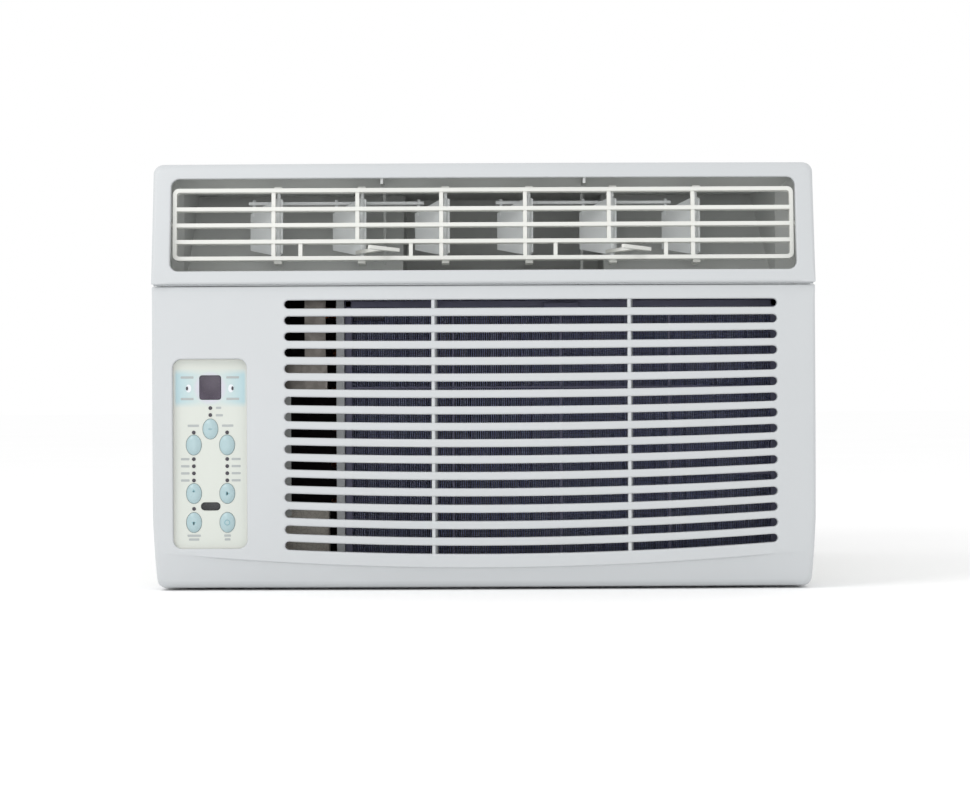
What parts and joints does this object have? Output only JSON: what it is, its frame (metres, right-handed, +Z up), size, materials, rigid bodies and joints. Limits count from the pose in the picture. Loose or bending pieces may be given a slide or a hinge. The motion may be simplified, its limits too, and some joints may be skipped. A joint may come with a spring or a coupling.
{
  "type": "window air conditioner",
  "caption": "Boxy window air conditioner with a curved front, tilting louver with turning vanes, hinged slotted inlet grille, push-button panel and a full fan and coil set inside.",
  "frame": {"origin": "bottom centre of the unit's box, on the surface it stands on", "axes": "+Z up, the room side faces -Y, +X to the right seen from the room"},
  "size_m": [0.56, 0.54, 0.362],
  "materials": {
    "panel_plastic": "satin moulded plastic",
    "louver_plastic": "satin moulded plastic",
    "vane_plastic": "satin moulded plastic",
    "plate_plastic": "satin printed plastic",
    "button_plastic": "satin moulded plastic",
    "dark_lens": "gloss",
    "duct_plastic": "matte",
    "foam": "expanded foam",
    "sheet_steel": "galvanised",
    "painted_steel": "powder coat",
    "fin_aluminium": "thin fins",
    "copper_tube": "copper",
    "black_metal": "gloss paint",
    "fan_plastic": "matte",
    "circuit_board": "lacquered",
    "filter_mesh": "woven mesh",
    "rubber": "matte"
  },
  "bodies": {
    "chassis": {"front_frame": "panel_plastic", "air_filter": "filter_mesh", "outlet_duct": "duct_plastic", "control_plate": "plate_plastic", "display_lens": "dark_lens", "receiver_lens": "dark_lens", "control_housing": "duct_plastic", "control_board": "circuit_board", "base_pan": "painted_steel", "cabinet_wrapper": "painted_steel", "cord_gland": "rubber", "rear_guard": "painted_steel", "evaporator_coil": "fin_aluminium", "evaporator_end_left": "copper_tube", "evaporator_end_right": "copper_tube", "condenser_coil": "fin_aluminium", "condenser_end_left": "copper_tube", "condenser_end_right": "copper_tube", "drain_tray": "foam", "coil_stay": "sheet_steel", "coil_sensor": "black_metal", "bulkhead": "sheet_steel", "blower_housing": "foam", "fan_motor": "black_metal", "motor_bracket": "sheet_steel", "fan_shroud": "fan_plastic", "compressor": "black_metal", "compressor_mount_1": "rubber", "compressor_mount_2": "rubber", "compressor_mount_3": "rubber", "accumulator": "black_metal", "suction_pipe": "copper_tube", "discharge_pipe": "copper_tube", "liquid_line": "copper_tube", "control_box": "sheet_steel", "run_capacitor": "sheet_steel"},
    "louver": {"louver_grid": "louver_plastic"},
    "grille": {"inlet_grille": "panel_plastic"},
    "rotor": {"motor_shaft": "sheet_steel", "blower_wheel": "fan_plastic", "wheel_nut": "sheet_steel", "condenser_fan": "fan_plastic"},
    "vane_1": {"vane_1": "vane_plastic"},
    "vane_2": {"vane_2": "vane_plastic", "vane_lever_left": "louver_plastic"},
    "vane_3": {"vane_3": "vane_plastic"},
    "link_left": {"vane_link_left": "vane_plastic"},
    "vane_4": {"vane_4": "vane_plastic"},
    "vane_5": {"vane_5": "vane_plastic", "vane_lever_right": "louver_plastic"},
    "vane_6": {"vane_6": "vane_plastic"},
    "link_right": {"vane_link_right": "vane_plastic"},
    "button_mode": {"button_mode": "button_plastic"},
    "button_timer": {"button_timer": "button_plastic"},
    "button_sleep": {"button_sleep": "button_plastic"},
    "button_up": {"button_up": "button_plastic"},
    "button_fan_speed": {"button_fan_speed": "button_plastic"},
    "button_down": {"button_down": "button_plastic"},
    "button_power": {"button_power": "button_plastic"}
  },
  "joints": [
    {"name": "louver_tilt", "type": "hinge", "parent": "chassis", "child": "louver", "pos_m": [0, -0.244, 0.31], "axis": [1, 0, 0], "range_deg": [-20, 10]},
    {"name": "grille_tilt", "type": "hinge", "parent": "chassis", "child": "grille", "pos_m": [0, -0.249, 0.016], "axis": [1, 0, 0], "range_deg": [0, 40]},
    {"name": "fan_spin", "type": "hinge", "parent": "chassis", "child": "rotor", "pos_m": [0.045, 0, 0.168], "axis": [0, 1, 0], "continuous": true},
    {"name": "vane_1_turn", "type": "hinge", "parent": "louver", "child": "vane_1", "pos_m": [-0.1745, -0.23205, 0.30895], "axis": [0, 0.0872, 0.9962], "range_deg": [-78, 2]},
    {"name": "vane_2_turn", "type": "hinge", "parent": "louver", "child": "vane_2", "pos_m": [-0.1033, -0.23205, 0.30895], "axis": [0, 0.0872, 0.9962], "range_deg": [-78, 2]},
    {"name": "vane_3_turn", "type": "hinge", "parent": "louver", "child": "vane_3", "pos_m": [-0.0321, -0.23205, 0.30895], "axis": [0, 0.0872, 0.9962], "range_deg": [-78, 2]},
    {"name": "link_left_swing", "type": "hinge", "parent": "vane_2", "child": "link_left", "pos_m": [-0.12692, -0.20289, 0.33049], "axis": [0, 0.0872, 0.9962], "range_deg": [-2, 78]},
    {"name": "vane_4_turn", "type": "hinge", "parent": "louver", "child": "vane_4", "pos_m": [0.0391, -0.23205, 0.30895], "axis": [0, 0.0872, 0.9962], "range_deg": [-78, 2]},
    {"name": "vane_5_turn", "type": "hinge", "parent": "louver", "child": "vane_5", "pos_m": [0.1103, -0.23205, 0.30895], "axis": [0, 0.0872, 0.9962], "range_deg": [-78, 2]},
    {"name": "vane_6_turn", "type": "hinge", "parent": "louver", "child": "vane_6", "pos_m": [0.1815, -0.23205, 0.30895], "axis": [0, 0.0872, 0.9962], "range_deg": [-78, 2]},
    {"name": "link_right_swing", "type": "hinge", "parent": "vane_5", "child": "link_right", "pos_m": [0.08668, -0.20289, 0.33049], "axis": [0, 0.0872, 0.9962], "range_deg": [-2, 78]},
    {"name": "button_mode_press", "type": "slide", "parent": "chassis", "child": "button_mode", "axis": [0, 1, 0], "range_m": [0, 0.001], "stiffness_N_per_m": 300},
    {"name": "button_timer_press", "type": "slide", "parent": "chassis", "child": "button_timer", "axis": [0, 1, 0], "range_m": [0, 0.001], "stiffness_N_per_m": 300},
    {"name": "button_sleep_press", "type": "slide", "parent": "chassis", "child": "button_sleep", "axis": [0, 1, 0], "range_m": [0, 0.001], "stiffness_N_per_m": 300},
    {"name": "button_up_press", "type": "slide", "parent": "chassis", "child": "button_up", "axis": [0, 1, 0], "range_m": [0, 0.001], "stiffness_N_per_m": 300},
    {"name": "button_fan_speed_press", "type": "slide", "parent": "chassis", "child": "button_fan_speed", "axis": [0, 1, 0], "range_m": [0, 0.001], "stiffness_N_per_m": 300},
    {"name": "button_down_press", "type": "slide", "parent": "chassis", "child": "button_down", "axis": [0, 1, 0], "range_m": [0, 0.001], "stiffness_N_per_m": 300},
    {"name": "button_power_press", "type": "slide", "parent": "chassis", "child": "button_power", "axis": [0, 1, 0], "range_m": [0, 0.001], "stiffness_N_per_m": 300}
  ],
  "couplings": [
    {"joint": "vane_1_turn", "follows": "vane_2_turn", "ratio": 1},
    {"joint": "vane_3_turn", "follows": "vane_2_turn", "ratio": 1},
    {"joint": "link_left_swing", "follows": "vane_2_turn", "ratio": -1},
    {"joint": "vane_4_turn", "follows": "vane_5_turn", "ratio": 1},
    {"joint": "vane_6_turn", "follows": "vane_5_turn", "ratio": 1},
    {"joint": "link_right_swing", "follows": "vane_5_turn", "ratio": -1}
  ]
}
